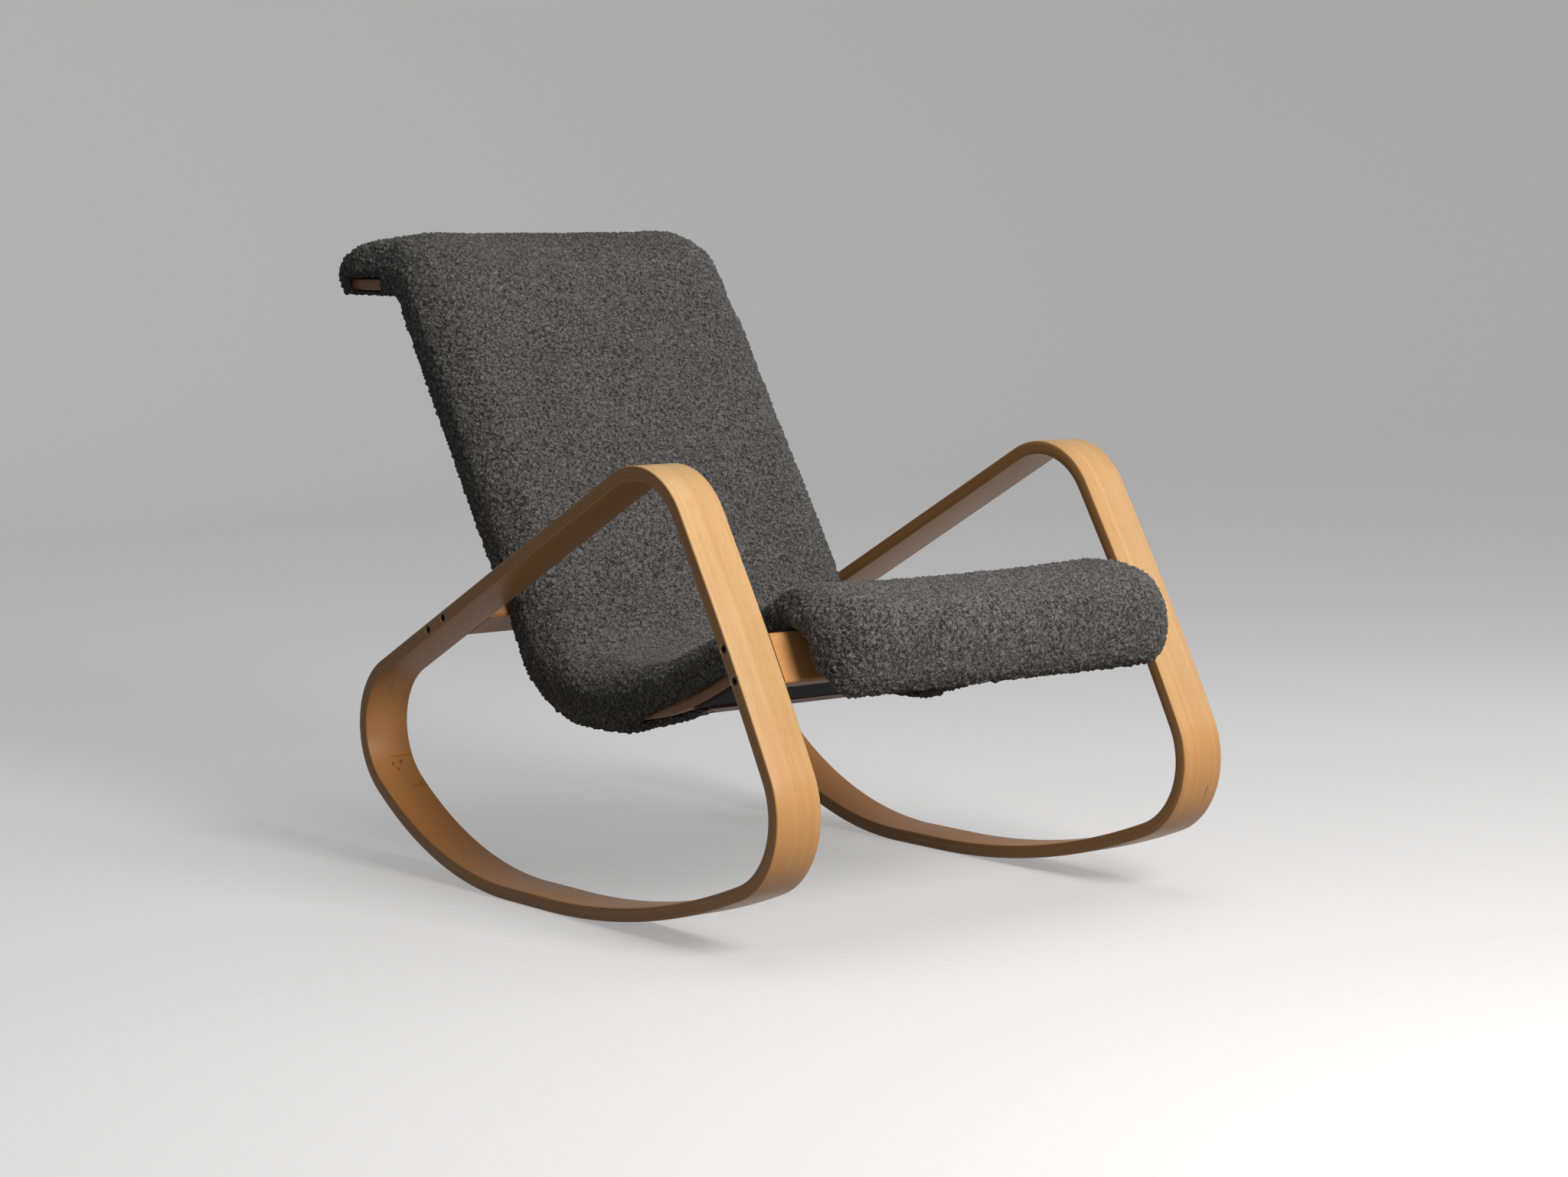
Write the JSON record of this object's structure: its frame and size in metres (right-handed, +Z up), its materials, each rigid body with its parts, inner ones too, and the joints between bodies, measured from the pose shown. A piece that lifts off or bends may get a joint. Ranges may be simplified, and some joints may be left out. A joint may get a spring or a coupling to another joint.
{
  "type": "bentwood rocking chair",
  "caption": "Low lounge rocking chair: two closed bentwood side loops serve as legs, arms and rockers and carry an upholstered shell with a hooked headrest and rolled front.",
  "frame": {"origin": "on the floor, under the middle of the chair's bounding box", "axes": "+Z up, the chair faces -Y, +X towards the sitter's left, so the chair mirrors across X = 0"},
  "size_m": [0.656, 1.0468, 0.7722],
  "materials": {
    "loop_veneer": "satin lacquer over pale veneer, laminated edges",
    "rail_veneer": "satin lacquer over pale veneer",
    "shell_wood": "laminated wood with thin lacquer",
    "slat_wood": "planed softwood",
    "black_steel": "black oxide",
    "insert_brass": "plain",
    "screw_zinc": "zinc plated",
    "strap_webbing": "woven webbing",
    "lining_cloth": "dust cloth",
    "foam": "open-cell foam",
    "curly_cloth": "curly looped pile"
  },
  "bodies": {
    "root": {"right_loop": "loop_veneer", "left_loop": "loop_veneer", "front_cross_rail": "rail_veneer", "rear_cross_rail": "rail_veneer", "front_right_upper_bolt": "black_steel", "front_right_upper_insert": "insert_brass", "front_right_lower_bolt": "black_steel", "front_right_lower_insert": "insert_brass", "front_left_upper_bolt": "black_steel", "front_left_upper_insert": "insert_brass", "front_left_lower_bolt": "black_steel", "front_left_lower_insert": "insert_brass", "rear_right_upper_bolt": "black_steel", "rear_right_upper_insert": "insert_brass", "rear_right_lower_bolt": "black_steel", "rear_right_lower_insert": "insert_brass", "rear_left_upper_bolt": "black_steel", "rear_left_upper_insert": "insert_brass", "rear_left_lower_bolt": "black_steel", "rear_left_lower_insert": "insert_brass", "right_shell_rail": "shell_wood", "left_shell_rail": "shell_wood", "shell_screw_front_right_1": "screw_zinc", "shell_screw_front_right_2": "screw_zinc", "shell_screw_front_left_1": "screw_zinc", "shell_screw_front_left_2": "screw_zinc", "shell_screw_rear_right_1": "screw_zinc", "shell_screw_rear_right_2": "screw_zinc", "shell_screw_rear_left_1": "screw_zinc", "shell_screw_rear_left_2": "screw_zinc", "seat_slat": "slat_wood", "low_back_slat": "slat_wood", "high_back_slat": "slat_wood", "head_slat": "slat_wood", "cloth_batten": "slat_wood", "seat_strap_1": "strap_webbing", "seat_strap_2": "strap_webbing", "seat_strap_3": "strap_webbing", "seat_strap_4": "strap_webbing", "back_strap_1": "strap_webbing", "back_strap_2": "strap_webbing", "back_strap_3": "strap_webbing", "back_strap_4": "strap_webbing", "back_strap_5": "strap_webbing", "back_strap_6": "strap_webbing", "underseat_cloth": "lining_cloth", "back_lining": "lining_cloth", "foam_pad": "foam", "seat_cover": "curly_cloth"}
  },
  "joints": []
}
